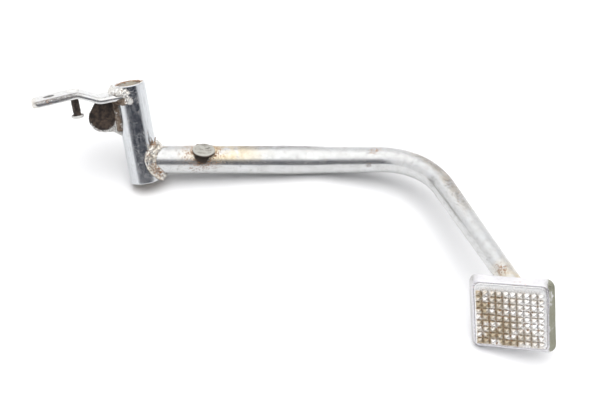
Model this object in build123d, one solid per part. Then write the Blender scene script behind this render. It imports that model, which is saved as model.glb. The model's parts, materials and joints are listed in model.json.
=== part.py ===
from build123d import *
import os

# Right-foot rear brake pedal of a light motorcycle: a chromed steel weldment.
# It is designed in the bike's own directions, with the origin at the middle of
# the pivot bore: +X forward, +Y up, +Z outboard along the pivot shaft.
# The finished pedal is then laid down on three points, as it rests on a bench.
# All sizes are in millimetres, all angles in degrees.

# pivot tube
TUBE_LENGTH = 60.0
TUBE_RADIUS = 9.5
BORE_RADIUS = 7.0
TUBE_CHAMFER = 0.5

# bent arm tube: corners of its centre line, bend radius and wall
ARM_ROOT = Vector(0, 0, 17)
ARM_KINK = Vector(104.5, 1, 34.5)
ARM_ELBOW = Vector(165, 26, 37.5)
BEND_RADIUS = 50.0
ARM_WALL = 2.0
ARM_SECTIONS = 30
# outer radius at stations along the centre line, which runs from 0 to 1: the tube
# is a little swollen before the kink and is swaged thinner from there to the pad
ARM_RADII = [(0.0, 8.45), (0.20, 8.5), (0.31, 8.75), (0.38, 8.2), (0.50, 7.6), (0.62, 6.8), (1.0, 5.6)]

# pedal pad: the middle of the tread, how far it leans back, and its twist
PAD_CENTRE = Vector(183.4, 132.4, 99.1)
PAD_LEAN = 27.5
PAD_TWIST = -3.5
TREAD_LENGTH = 38.6
TREAD_WIDTH = 35.4
TREAD_THICKNESS = 1.4
TREAD_CORNER = 3.2
TREAD_EDGE_ROUND = 0.5
STUD_PITCH_ALONG = 3.72
STUD_PITCH_ACROSS = 3.45
STUD_SHIFT_ALONG = -0.4
STUD_SHIFT_ACROSS = -1.8
STUD_COLUMNS = 10
STUD_ROWS = 9
STUD_BASE = 3.2
STUD_HEIGHT = 1.3
STUD_TAPER = 39.0
# the shell is a shallow pressed tray: its skirt flares out behind the tread
SHELL_SHEET = 1.2
SHELL_FRONT = -0.4
SHELL_REAR = -4.8
SHELL_LIP = 0.5
SHELL_FLARE = 3.4
SHELL_CORNER = 5.0
# where the arm's centre line meets the tread plane, along and across the pad
ARM_END_ALONG = 9.5
ARM_END_ACROSS = 6.5

# brake-rod lever: a joggled flat bar near the inboard end of the tube
LEVER_RISE = 9.0
LEVER_WIDTH = 18.0
LEVER_THICKNESS = 3.7
LEVER_ROOT_Z = -24.2
LEVER_END_Z = -29.7
LEVER_REACH = 57.5
LEVER_CORNER = 4.5
JOGGLE_START = 19.0
JOGGLE_END = 31.0
JOGGLE_BEND = 4.0
ROD_HOLE_REACH = 47.0
ROD_HOLE_RADIUS = 3.25

# spring post riveted through the lever
POST_REACH = 32.8
POST_RADIUS = 2.3
POST_LENGTH = 10.7
POST_HEAD_RADIUS = 3.8
POST_HEAD_THICKNESS = 1.9
POST_HEAD_ROUND = 0.7
RIVET_RADIUS = 3.6
RIVET_HEIGHT = 1.0

# round-ended stop lug under the lever: the middle of its round end, the reach of its
# narrow top and of its spread foot, and the end of its flat lower edge
LUG_REACH = 18.5
LUG_Z = -12.3
LUG_RADIUS = 8.4
LUG_THICKNESS = 3.2
LUG_TOP_REACH = 21.1
LUG_TOP_ANGLE = -36.0
LUG_LOW_ANGLE = 80.0
LUG_HEEL = (13.5, -3.0)
LUG_FOOT = (9.0, 0.8)

# stop button seated on the arm
BUTTON_ALONG = 36.5
BUTTON_ANGLE = 19.0
BUTTON_RADIUS = 6.7
BUTTON_THICKNESS = 1.9
BUTTON_CHAMFER = 0.3
BUTTON_FACE_HEIGHT = 9.9
BUTTON_OFFSET = 3.6
BUTTON_SHANK_RADIUS = 3.0

# weld beads, by their leg lengths
ARM_WELD_LEG = 3.8
LEVER_WELD_LEG = 3.6
LUG_WELD_LEG = 2.6
LUG_WELD_CREST = 8.5
BUTTON_WELD_LEG = 1.4
BUTTON_WELD_INSET = 1.0
PAD_WELD_LEG = 2.0
BEAD_TOE = 0.3

# how the pedal lies on a flat bench
LAY_ROLL = 149.18
LAY_PITCH = -3.68
LAY_YAW = 9.17

UPWARD = (Align.CENTER, Align.CENTER, Align.MIN)
DOWNWARD = (Align.CENTER, Align.CENTER, Align.MAX)
pad_frame = Pos(PAD_CENTRE) * Rot(Z=PAD_LEAN) * Rot(X=-90) * Rot(Z=PAD_TWIST)
lever_frame = Rot(Z=180 - LEVER_RISE)
arm_run = (ARM_KINK - ARM_ROOT).normalized()
shell_back = -TREAD_THICKNESS - SHELL_SHEET
lever_inboard_face = LEVER_ROOT_Z - LEVER_THICKNESS / 2
lever_outboard_face = LEVER_ROOT_Z + LEVER_THICKNESS / 2
tube_outside = Cylinder(TUBE_RADIUS, TUBE_LENGTH)


def arm_radius(station):
    """Outer radius of the arm at a station from 0 to 1 along its centre line."""
    for (start, first), (end, last) in zip(ARM_RADII, ARM_RADII[1:]):
        if station <= end:
            return first + (last - first) * (station - start) / (end - start)


def arm_body(growth):
    """Tapering round bar along the arm's centre line, made thicker by growth."""
    tip = (pad_frame * Pos(ARM_END_ALONG, ARM_END_ACROSS, 0)).position
    path = FilletPolyline(ARM_ROOT, ARM_KINK, ARM_ELBOW, tip, radius=BEND_RADIUS)
    stations = [index / ARM_SECTIONS for index in range(ARM_SECTIONS + 1)]
    sections = [Plane(path ^ place) * Circle(arm_radius(place) + growth) for place in stations]
    return loft(Sketch() + sections)


def pad_block(height, depth):
    """Block wider than the pad, from a height over the tread and depth thick."""
    side = 2 * TREAD_LENGTH
    return pad_frame * Pos(0, 0, height) * Box(side, side, depth, align=UPWARD)


def tray_section(height, inset):
    """Outline of the pad shell at a height over the tread, inset from its outside."""
    share = (SHELL_FRONT - height) / (SHELL_FRONT - SHELL_REAR)
    margin = 2 * (SHELL_LIP + (SHELL_FLARE - SHELL_LIP) * share - inset)
    corner = TREAD_CORNER + (SHELL_CORNER - TREAD_CORNER) * share
    return Pos(0, 0, height) * RectangleRounded(TREAD_LENGTH + margin, TREAD_WIDTH + margin, corner)


def make_pivot_tube():
    """Plain pivot tube with chamfered mouths."""
    tube = tube_outside - Cylinder(BORE_RADIUS, TUBE_LENGTH)
    return chamfer(tube.edges().filter_by(GeomType.CIRCLE), TUBE_CHAMFER)


def make_arm_tube():
    """Arm coped onto the pivot tube at one end and cut to the pad's back at the other."""
    tube = arm_body(0) - arm_body(-ARM_WALL)
    return tube - tube_outside - pad_block(shell_back, TREAD_LENGTH) - make_stop_button()


def make_arm_weld():
    """Fillet bead right round the saddle joint of arm and pivot tube."""
    foot = arm_radius(0) + ARM_WELD_LEG
    toe = arm_radius(0) + BEAD_TOE
    start = TUBE_RADIUS / 2
    length = TUBE_RADIUS + ARM_WELD_LEG - start
    bead = Pos(0, 0, start) * Cone(foot, toe, length, align=UPWARD)
    return Plane(ARM_ROOT, z_dir=arm_run) * bead - tube_outside - arm_body(0)


def make_pad_shell():
    """Shallow pressed tray with a flared skirt; its floor carries the tread."""
    outside = loft(Sketch() + [tray_section(SHELL_FRONT, 0), tray_section(SHELL_REAR, 0)])
    hollow = loft(Sketch() + [tray_section(shell_back, SHELL_SHEET), tray_section(SHELL_REAR, SHELL_SHEET)])
    seat_outline = RectangleRounded(TREAD_LENGTH, TREAD_WIDTH, TREAD_CORNER)
    seat = extrude(Pos(0, 0, -TREAD_THICKNESS) * seat_outline, 2 * TREAD_THICKNESS)
    return pad_frame * (outside - hollow - seat)


def make_tread_plate():
    """Rounded plate with a field of blunt square pyramids."""
    plate = extrude(RectangleRounded(TREAD_LENGTH, TREAD_WIDTH, TREAD_CORNER), -TREAD_THICKNESS)
    front_edges = plate.faces().sort_by(Axis.Z)[-1].edges()
    plate = fillet(front_edges, TREAD_EDGE_ROUND)
    stud = extrude(Rectangle(STUD_BASE, STUD_BASE), STUD_HEIGHT, taper=STUD_TAPER)
    field = Pos(STUD_SHIFT_ALONG, STUD_SHIFT_ACROSS, 0)
    places = GridLocations(STUD_PITCH_ALONG, STUD_PITCH_ACROSS, STUD_COLUMNS, STUD_ROWS)
    return pad_frame * (plate + [field * place * stud for place in places])


def make_pad_weld():
    """Fillet bead round the arm's oblique end on the back of the shell."""
    slab = pad_block(shell_back - PAD_WELD_LEG, PAD_WELD_LEG)
    return (arm_body(PAD_WELD_LEG) & slab) - arm_body(0)


def make_rod_lever():
    """Flat bar, joggled inboard, coped to the tube, with a hole for the brake rod."""
    points = [
        Vector(0, 0, LEVER_ROOT_Z),
        Vector(JOGGLE_START, 0, LEVER_ROOT_Z),
        Vector(JOGGLE_END, 0, LEVER_END_Z),
        Vector(LEVER_REACH, 0, LEVER_END_Z),
    ]
    path = FilletPolyline(*points, radius=JOGGLE_BEND)
    section = Plane(points[0], x_dir=(0, 1, 0), z_dir=(1, 0, 0)) * Rectangle(LEVER_WIDTH, LEVER_THICKNESS)
    outline = RectangleRounded(2 * LEVER_REACH, LEVER_WIDTH, LEVER_CORNER)
    bar = sweep(section, path) & extrude(outline, TUBE_LENGTH, both=True)
    rod_hole = Pos(ROD_HOLE_REACH, 0, LEVER_END_Z) * Cylinder(ROD_HOLE_RADIUS, 2 * LEVER_THICKNESS)
    return lever_frame * (bar - rod_hole) - tube_outside - make_spring_post()


def lever_weld(face, away):
    """Fillet bead on one face of the lever, along its coped end; away is -1 or +1."""
    foot = TUBE_RADIUS + LEVER_WELD_LEG
    toe = TUBE_RADIUS + BEAD_TOE
    bead = Cone(foot, toe, LEVER_WELD_LEG, align=UPWARD)
    if away < 0:
        bead = Rot(X=180) * bead
    rearward_half = (Align.MIN, Align.CENTER, Align.CENTER)
    side = Pos(0, 0, face) * Box(foot, LEVER_WIDTH, 2 * LEVER_WELD_LEG, align=rearward_half)
    return lever_frame * ((Pos(0, 0, face) * bead) & side) - tube_outside


def make_spring_post():
    """Headed post on the outboard side of the lever, riveted over on the inboard side."""
    inboard = LEVER_END_Z - LEVER_THICKNESS / 2
    outboard = LEVER_END_Z + LEVER_THICKNESS / 2
    stem = Pos(0, 0, inboard) * Cylinder(POST_RADIUS, LEVER_THICKNESS + POST_LENGTH, align=UPWARD)
    head = Cylinder(POST_HEAD_RADIUS, POST_HEAD_THICKNESS, align=UPWARD)
    head = Pos(0, 0, outboard + POST_LENGTH) * fillet(head.edges().sort_by(Axis.Z)[-1], POST_HEAD_ROUND)
    rivet = Rot(X=180) * Cone(RIVET_RADIUS, RIVET_RADIUS / 2, RIVET_HEIGHT, align=UPWARD)
    post = stem + head + Pos(0, 0, inboard) * rivet
    return lever_frame * Pos(POST_REACH, 0, 0) * post


def make_stop_lug():
    """Tab with a round end, reaching up to the lever's outboard face."""
    middle = Vector(LUG_REACH, LUG_Z)
    corners = [
        (0, lever_outboard_face),
        (LUG_TOP_REACH, lever_outboard_face),
        middle + Vector(LUG_RADIUS, 0).rotate(Axis.Z, LUG_TOP_ANGLE),
        middle + Vector(LUG_RADIUS, 0).rotate(Axis.Z, LUG_LOW_ANGLE),
        LUG_HEEL,
        LUG_FOOT,
        (0, LUG_FOOT[1]),
    ]
    outline = Pos(middle) * Circle(LUG_RADIUS) + Polygon(*corners, align=None)
    flat_plane = Plane((0, 0, 0), x_dir=(1, 0, 0), z_dir=(0, -1, 0))
    tab = extrude(flat_plane * outline, LUG_THICKNESS / 2, both=True)
    return lever_frame * tab - tube_outside


def make_lug_weld():
    """One fillet bead along each side of the lug, where it meets the tube."""
    half = LUG_THICKNESS / 2
    corners = [
        (TUBE_RADIUS / 2, half),
        (TUBE_RADIUS + LUG_WELD_LEG, half),
        (LUG_WELD_CREST, half + LUG_WELD_LEG),
        (TUBE_RADIUS / 2, half + LUG_WELD_LEG),
    ]
    start = lever_outboard_face + LEVER_WELD_LEG
    end = LUG_HEEL[1]
    bead = extrude(Pos(0, 0, start) * Polygon(*corners, align=None), end - start)
    return lever_frame * (bead + mirror(bead, about=Plane.XZ)) - tube_outside


def button_place():
    """Place on the arm's centre line whose Z axis points out through the stop button."""
    inboard = (Vector(0, 0, -1) - arm_run * Vector(0, 0, -1).dot(arm_run)).normalized()
    outward = inboard.rotate(Axis((0, 0, 0), arm_run), BUTTON_ANGLE)
    return Plane(ARM_ROOT + arm_run * BUTTON_ALONG, x_dir=arm_run, z_dir=outward)


def make_stop_button():
    """Flat disc sunk a little into the arm's crown, with a shank through the arm's wall."""
    face = Pos(0, -BUTTON_OFFSET, BUTTON_FACE_HEIGHT)
    disc = Cylinder(BUTTON_RADIUS, BUTTON_THICKNESS, align=DOWNWARD)
    disc = face * chamfer(disc.edges().sort_by(Axis.Z)[-1], BUTTON_CHAMFER)
    depth = BUTTON_FACE_HEIGHT - arm_radius(0) + 2 * ARM_WALL
    face_above_arm = Pos(0, 0, BUTTON_FACE_HEIGHT - BUTTON_THICKNESS / 2)
    shank = face_above_arm * Cylinder(BUTTON_SHANK_RADIUS, depth, align=DOWNWARD)
    return button_place() * (disc + shank)


def make_button_weld():
    """Small bead between the overhanging disc and the arm."""
    foot = BUTTON_RADIUS - BUTTON_WELD_INSET + BUTTON_WELD_LEG
    height = BUTTON_FACE_HEIGHT - BUTTON_THICKNESS
    rod = Cylinder(foot, height, align=UPWARD)
    collar = arm_body(BUTTON_WELD_LEG) & (button_place() * rod)
    return collar - arm_body(0) - make_stop_button()


pieces = {
    "pivot_tube": make_pivot_tube(),
    "arm_tube": make_arm_tube(),
    "arm_weld": make_arm_weld(),
    "pad_shell": make_pad_shell(),
    "tread_plate": make_tread_plate(),
    "pad_weld": make_pad_weld(),
    "rod_lever": make_rod_lever(),
    "lever_weld_inboard": lever_weld(lever_inboard_face, -1),
    "lever_weld_outboard": lever_weld(lever_outboard_face, 1) - make_stop_lug(),
    "spring_post": make_spring_post(),
    "stop_lug": make_stop_lug(),
    "lug_weld": make_lug_weld(),
    "stop_button": make_stop_button(),
    "button_weld": make_button_weld(),
}

lay_down = Rot(Z=LAY_YAW) * Rot(Y=LAY_PITCH) * Rot(X=LAY_ROLL)
os.makedirs("parts", exist_ok=True)
for name, piece in pieces.items():
    export_step(lay_down * piece, f"parts/{name}.step")
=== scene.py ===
import json
import math

import bmesh
import bpy
import numpy as np
from mathutils import Matrix, Vector, noise


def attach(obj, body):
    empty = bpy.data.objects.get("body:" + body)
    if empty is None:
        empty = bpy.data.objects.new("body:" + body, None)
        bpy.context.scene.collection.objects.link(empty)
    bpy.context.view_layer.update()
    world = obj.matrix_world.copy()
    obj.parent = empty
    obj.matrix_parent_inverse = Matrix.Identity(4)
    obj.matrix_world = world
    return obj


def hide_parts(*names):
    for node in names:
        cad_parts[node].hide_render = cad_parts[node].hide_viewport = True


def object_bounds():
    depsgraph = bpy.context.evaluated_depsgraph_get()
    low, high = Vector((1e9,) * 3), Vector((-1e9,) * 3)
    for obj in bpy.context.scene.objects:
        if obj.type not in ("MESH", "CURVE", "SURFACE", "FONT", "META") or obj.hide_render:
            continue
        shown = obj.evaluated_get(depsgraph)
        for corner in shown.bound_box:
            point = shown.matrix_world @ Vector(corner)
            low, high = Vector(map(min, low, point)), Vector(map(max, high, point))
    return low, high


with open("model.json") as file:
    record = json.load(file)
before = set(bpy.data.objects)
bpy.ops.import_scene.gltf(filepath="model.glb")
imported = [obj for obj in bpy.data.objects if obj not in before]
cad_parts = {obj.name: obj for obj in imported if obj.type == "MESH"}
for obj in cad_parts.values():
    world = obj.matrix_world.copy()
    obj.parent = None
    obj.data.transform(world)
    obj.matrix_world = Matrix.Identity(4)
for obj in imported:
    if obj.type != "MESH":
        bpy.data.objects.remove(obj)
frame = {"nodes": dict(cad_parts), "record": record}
cad_low, cad_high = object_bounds()

# ---------------- design frame
# Every piece is modelled in millimetres in the bike's own directions, with the
# origin at the middle of the pivot bore: +X forward, +Y up, +Z outboard along the
# pivot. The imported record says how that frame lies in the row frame.
MM = 0.001
LEVER_RISE = 9.0
IN_PLACE = Matrix.Identity(4)
mounts = {mount["name"]: mount for mount in frame["record"]["mounts"]}
outboard = Vector(mounts["pivot_bore"]["axis"]).normalized()
rod_hole = Vector(mounts["rod_hole"]["pos_m"])
rearward = (rod_hole - outboard * rod_hole.dot(outboard)).normalized()
forward = Matrix.Rotation(-math.radians(180 - LEVER_RISE), 3, outboard) @ rearward
upward = outboard.cross(forward)
design = Matrix((forward, upward, outboard)).transposed().to_4x4() @ Matrix.Scale(MM, 4)
lever_frame = Matrix.Rotation(math.radians(180 - LEVER_RISE), 4, "Z")

PAD_CENTRE = Vector((183.4, 132.4, 99.1))
PAD_LEAN = 27.5
PAD_TWIST = -3.5
pad_frame = (
    Matrix.Translation(PAD_CENTRE)
    @ Matrix.Rotation(math.radians(PAD_LEAN), 4, "Z")
    @ Matrix.Rotation(math.radians(-90), 4, "X")
    @ Matrix.Rotation(math.radians(PAD_TWIST), 4, "Z")
)


def measure(node, local=IN_PLACE):
    """Lowest and highest corner of a CAD node, in millimetres, in a local frame."""
    to_local = (design @ local).inverted()
    points = np.array([to_local @ vertex.co for vertex in frame["nodes"][node].data.vertices])
    return points.min(axis=0), points.max(axis=0)


# ---------------- mesh helpers
MASK_LIMIT = 2.5


def add_piece(name, points, faces):
    """New object from points in millimetres."""
    mesh = bpy.data.meshes.new(name)
    mesh.from_pydata([tuple(point) for point in points], [], faces)
    piece = bpy.data.objects.new(name, mesh)
    bpy.context.scene.collection.objects.link(piece)
    return piece


def skin(loops, closed_loops=True, closed_ends=False):
    """Points and quads of a skin over equal loops of points."""
    loops = np.asarray(loops, float)
    rows, columns = loops.shape[:2]
    faces = []
    for row in range(rows if closed_ends else rows - 1):
        for column in range(columns if closed_loops else columns - 1):
            near_row = row * columns
            far_row = (row + 1) % rows * columns
            following = (column + 1) % columns
            faces.append((near_row + column, near_row + following, far_row + following, far_row + column))
    return loops.reshape(-1, 3), faces


def add_capped(name, loops):
    """Closed piece over equal loops of points, with a face over the first and the last."""
    rows, columns = np.shape(loops)[:2]
    points, faces = skin(loops)
    faces.append(tuple(range(columns))[::-1])
    faces.append(tuple(range((rows - 1) * columns, rows * columns)))
    return add_piece(name, points, faces)


def turns(count):
    """Angles spread evenly round a circle."""
    return np.linspace(0, 2 * math.pi, count, endpoint=False)


def lathe(profile, count, reach=0.0):
    """Loops of a profile of (radius, height), turned round an upright axis at a reach."""
    return [[(r * math.cos(a) + reach, r * math.sin(a), z) for a in turns(count)] for r, z in profile]


def positions(piece):
    """Vertex positions as an array."""
    flat = np.empty(len(piece.data.vertices) * 3, np.float32)
    piece.data.vertices.foreach_get("co", flat)
    return flat.reshape(-1, 3).astype(float)


def set_positions(piece, points):
    """Moves the vertices to points."""
    piece.data.vertices.foreach_set("co", points.astype(np.float32).ravel())
    piece.data.update()


def push_out(piece, points, push):
    """Moves the vertices to points pushed out along their normals, and returns those."""
    flat = np.empty(len(points) * 3, np.float32)
    piece.data.vertex_normals.foreach_get("vector", flat)
    points = points + flat.reshape(-1, 3).astype(float) * push[:, None]
    set_positions(piece, points)
    return points


def lumps(points, size, seed=0):
    """Smooth noise from about -1 to 1, with features about size millimetres across."""
    shift = Vector((seed * 31.7, seed * 17.3, seed * 5.9))
    return np.array([noise.noise(Vector(point) / size + shift) for point in points])


def fade(values, start, end):
    """0 before start, 1 after end, smooth between; start may be above end."""
    share = np.clip((np.asarray(values, float) - start) / (end - start), 0, 1)
    return share * share * (3 - 2 * share)


def near(points, place, radius):
    """1 at a place, fading to 0 at radius away from it."""
    return 1 - fade(np.linalg.norm(points - np.asarray(place, float), axis=1), 0, radius)


def smoothed(values, width):
    """Values run through a soft window of an odd width."""
    window = np.hanning(width)
    return np.convolve(np.pad(values, width // 2, mode="edge"), window / window.sum(), mode="valid")


def apply_modifier(piece, kind, **settings):
    """Adds one modifier and turns its result into the piece's mesh."""
    modifier = piece.modifiers.new(kind, kind)
    for key, value in settings.items():
        setattr(modifier, key, value)
    graph = bpy.context.evaluated_depsgraph_get()
    mesh = bpy.data.meshes.new_from_object(piece.evaluated_get(graph))
    piece.modifiers.clear()
    old = piece.data
    piece.data = mesh
    bpy.data.meshes.remove(old)


def orient(piece):
    """Makes the faces of closed shells point outwards."""
    shells = bmesh.new()
    shells.from_mesh(piece.data)
    bmesh.ops.recalc_face_normals(shells, faces=shells.faces)
    shells.to_mesh(piece.data)
    shells.free()


def merge(name, pieces):
    """One object from the meshes of several."""
    joined = bmesh.new()
    for piece in pieces:
        joined.from_mesh(piece.data)
        bpy.data.objects.remove(piece)
    result = add_piece(name, [], [])
    joined.to_mesh(result.data)
    joined.free()
    return result


def melt(name, pieces, voxel, layers, smoothing=1):
    """One closed skin over overlapping pieces, roughened by layers of (height, size, seed).

    Returns it with its points and how hollow they are.
    """
    piece = merge(name, pieces)
    orient(piece)
    apply_modifier(piece, "REMESH", mode="VOXEL", voxel_size=voxel, use_smooth_shade=True)
    apply_modifier(piece, "SMOOTH", factor=0.5, iterations=smoothing)
    points = positions(piece)
    push = sum(height * lumps(points, size, seed) for height, size, seed in layers)
    hollow = fade(-push / sum(height for height, size, seed in layers), 0.05, 0.45)
    push_out(piece, points, push)
    return piece, positions(piece), hollow


def cut(piece, cutter):
    """Takes a cutter's closed shape out of a piece."""
    orient(piece)
    orient(cutter)
    apply_modifier(piece, "BOOLEAN", operation="DIFFERENCE", solver="EXACT", object=cutter)
    bpy.data.objects.remove(cutter)


def complete(piece, local, material, node, sharp_angle=None, **masks):
    """Paints and shades a piece, puts it in the row frame under the root body and hides the node it
    replaces.

    A mask has a value for each vertex, or one for all; above 1 it is solid whatever the noise.
    """
    for name, values in masks.items():
        layer = piece.data.attributes.new(name, "FLOAT", "POINT")
        values = np.broadcast_to(values, len(piece.data.vertices))
        layer.data.foreach_set("value", np.clip(values, 0, MASK_LIMIT).astype(np.float32))
    for polygon in piece.data.polygons:
        polygon.use_smooth = True
    if sharp_angle is not None:
        piece.data.set_sharp_from_angle(angle=math.radians(sharp_angle))
        weights = piece.modifiers.new("weighted normals", "WEIGHTED_NORMAL")
        weights.keep_sharp = True
    piece.data.transform(design @ local)
    piece.data.materials.clear()
    piece.data.materials.append(material)
    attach(piece, "root")
    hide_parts(node)


# ---------------- materials
RUST_DARK = (0.10, 0.045, 0.022)
RUST_LIGHT = (0.42, 0.21, 0.085)
STAIN = (0.70, 0.58, 0.37)
# Dark colour of pits and grime; it also serves as painted shade.
GRIME_AND_SHADE = (0.045, 0.032, 0.024)
PAD_DIRT = (0.41, 0.34, 0.24)
WELD_TINT = (0.62, 0.53, 0.38)
DUST = (0.50, 0.50, 0.50)
OLIVE = (0.27, 0.27, 0.21)
# Light colour of scuffed bare steel, also used for painted highlights.
RUBBED_AND_HIGHLIGHT = (0.74, 0.73, 0.71)
BARE_RELIEF = 0.00008


class Signal:
    """Output of a shader node; + - * make further nodes from it."""

    def __init__(self, tree, socket):
        self.tree = tree
        self.socket = socket

    def __add__(self, other):
        return self.tree.math("ADD", self, other)

    def __sub__(self, other):
        return self.tree.math("SUBTRACT", self, other)

    def __rsub__(self, other):
        return self.tree.math("SUBTRACT", other, self)

    def __mul__(self, other):
        return self.tree.math("MULTIPLY", self, other)

    def spread(self, low, high, to_low=0.0, to_high=1.0):
        """Smooth map from low..high to to_low..to_high."""
        inputs = {"Value": self, "From Min": low, "From Max": high, "To Min": to_low, "To Max": to_high}
        return self.tree.add("MapRange", "Result", inputs, interpolation_type="SMOOTHSTEP")


class Shading:
    """Node tree of a material or of the world."""

    def __init__(self, owner):
        owner.use_nodes = True
        self.nodes = owner.node_tree.nodes
        self.links = owner.node_tree.links

    def feed(self, socket, value):
        """Links a signal to a socket, or sets a colour or a number on it."""
        if isinstance(value, Signal):
            self.links.new(value.socket, socket)
        elif isinstance(value, tuple):
            socket.default_value = (*value, 1.0)
        else:
            socket.default_value = value

    def fill(self, name, **values):
        """Feeds the inputs of the node with a name; _ in their names stands for a space."""
        for key, value in values.items():
            self.feed(self.nodes[name].inputs[key.replace("_", " ")], value)

    def add(self, kind, output, inputs=None, **settings):
        """New node; returns one of its outputs."""
        node = self.nodes.new("ShaderNode" + kind)
        for key, value in settings.items():
            setattr(node, key, value)
        for key, value in (inputs or {}).items():
            self.feed(node.inputs[key], value)
        return Signal(self, node.outputs[output])

    def math(self, operation, first, second):
        """Result of a math node on signals or numbers."""
        return self.add("Math", 0, {0: first, 1: second}, operation=operation)

    def mix(self, share, first, second):
        """Colour between two colours."""
        return self.add("Mix", 2, {0: share, 6: first, 7: second}, data_type="RGBA")

    def mask(self, name):
        """One of the masks painted on a piece."""
        return self.add("Attribute", "Fac", attribute_name=name)

    def noise(self, place, scale, detail=4.0, roughness=0.55):
        """Noise at a place; scale is per metre."""
        inputs = {"Vector": place, "Scale": scale, "Detail": detail, "Roughness": roughness}
        return self.add("TexNoise", "Fac", inputs)

    def bump(self, height, strength, relief):
        """Normal for bumps up to relief metres high."""
        return self.add("Bump", "Normal", {"Strength": strength, "Distance": relief, "Height": height})

    def ramp(self, signal, steps):
        """Colour by a signal, from steps of (position, colour)."""
        node = self.nodes.new("ShaderNodeValToRGB")
        elements = node.color_ramp.elements
        while len(elements) < len(steps):
            elements.new(0.5)
        for element, (position, colour) in zip(elements, steps):
            element.position = position
            element.color = (*colour, 1.0)
        self.feed(node.inputs["Fac"], signal)
        return Signal(self, node.outputs["Color"])


def drawn_place(tree, place):
    """Object coordinates in the design frame, squeezed along the pivot."""
    turn = design.to_3x3().normalized().to_euler()
    inputs = {"Vector": place, "Rotation": turn, "Scale": Vector((1.0, 1.0, 14.0))}
    return tree.add("Mapping", "Vector", inputs, vector_type="TEXTURE")


def plated_metal(name, tint, gloss, film, relief=0.00003, stain_tint=STAIN, pit_and_shade_tint=GRIME_AND_SHADE, drawn=False):
    """Chrome plate with painted stains, rust and pits, and with painted shade in the pits' dark colour.

    gloss is its roughness when clean, and film is how much of it a dull haze covers;
    drawn adds fine lines along the pivot.
    """
    material = bpy.data.materials.new(name)
    tree = Shading(material)
    place = tree.add("TexCoord", "Object")
    cloud = tree.noise(place, 140.0)
    grain = tree.noise(place, 1100.0, detail=6.0, roughness=0.65)
    speck = tree.noise(place, 3200.0, detail=3.0)
    stain = tree.mask("stain") * cloud.spread(0.25, 0.6)
    rust = (tree.mask("rust") + grain.spread(0.3, 0.7, -0.55, 0.45)).spread(0.35, 0.62)
    # This mask carries pits and also painted shade, both in the dark tint.
    pit = (tree.mask("pit") + speck.spread(0.3, 0.7, -0.6, 0.4)).spread(0.32, 0.5)
    colour = tree.mix(stain, tint, stain_tint)
    colour = tree.mix(pit, colour, pit_and_shade_tint)
    colour = tree.mix(rust, colour, tree.mix(speck.spread(0.35, 0.65), RUST_DARK, RUST_LIGHT))
    haze = cloud.spread(0.3, 0.7, film * 0.7, film * 1.3) + tree.mask("dull")
    if drawn:
        lines = tree.noise(drawn_place(tree, place), 1300.0, detail=2.0)
        haze = haze + lines.spread(0.52, 0.66, 0.0, 0.20)
    covered = tree.math("MAXIMUM", rust, pit * 0.7)
    metallic = 1.0 - tree.math("MAXIMUM", covered, haze)
    roughness = grain.spread(0.3, 0.75, gloss, gloss + 0.08) + stain * 0.12 + covered * 0.5
    normal = tree.bump(grain * 0.15 - pit + rust * speck, 0.6, relief)
    tree.fill("Principled BSDF", Base_Color=colour, Metallic=metallic, Roughness=roughness, Normal=normal)
    return material


def bare_metal(name, dark, light, shine, rubbed_and_highlight=RUBBED_AND_HIGHLIGHT):
    """Unplated steel, rusted, and light where its bright mask is: scuffed metal, and in places a painted
    highlight. shine is how metallic its dull parts are.
    """
    material = bpy.data.materials.new(name)
    tree = Shading(material)
    place = tree.add("TexCoord", "Object")
    patch = tree.noise(place, 420.0, detail=5.0)
    grain = tree.noise(place, 1800.0, detail=6.0, roughness=0.7)
    bright = (tree.mask("bright") + grain.spread(0.3, 0.7, -0.3, 0.3)).spread(0.3, 0.6)
    colour = tree.mix(patch.spread(0.35, 0.65), dark, light)
    colour = tree.mix(grain.spread(0.60, 0.78), colour, RUST_LIGHT)
    colour = tree.mix(bright, colour, rubbed_and_highlight)
    metallic = tree.math("MAXIMUM", patch.spread(0.4, 0.7, shine, 0.0), bright * 0.55)
    roughness = grain.spread(0.3, 0.7, 0.3, 0.7)
    normal = tree.bump(grain, 0.8, BARE_RELIEF)
    tree.fill("Principled BSDF", Base_Color=colour, Metallic=metallic, Roughness=roughness, Normal=normal)
    return material


chrome_tube = plated_metal("chrome_tube", (0.60, 0.62, 0.64), 0.05, 0.02, pit_and_shade_tint=DUST, drawn=True)
chrome_arm = plated_metal("chrome_arm", (0.615, 0.625, 0.63), 0.09, 0.18)
chrome_weld = plated_metal("chrome_weld", (0.80, 0.79, 0.76), 0.06, 0.10, 0.00006, stain_tint=WELD_TINT)
chrome_pad = plated_metal("chrome_pad", (0.72, 0.71, 0.74), 0.16, 0.30, stain_tint=OLIVE)
tread_metal = plated_metal("tread_metal", (0.93, 0.93, 0.93), 0.20, 0.22, stain_tint=PAD_DIRT)
chrome_lever = plated_metal("chrome_lever", (0.68, 0.69, 0.70), 0.10, 0.16)
rusty_weld = bare_metal("rusty_weld", (0.07, 0.045, 0.03), (0.20, 0.15, 0.11), 0.5)
rusty_steel = bare_metal("rusty_steel", (0.018, 0.013, 0.011), (0.065, 0.043, 0.030), 0.3)
worn_steel = bare_metal("worn_steel", (0.022, 0.016, 0.012), (0.09, 0.055, 0.035), 0.3, (0.46, 0.45, 0.41))


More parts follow.
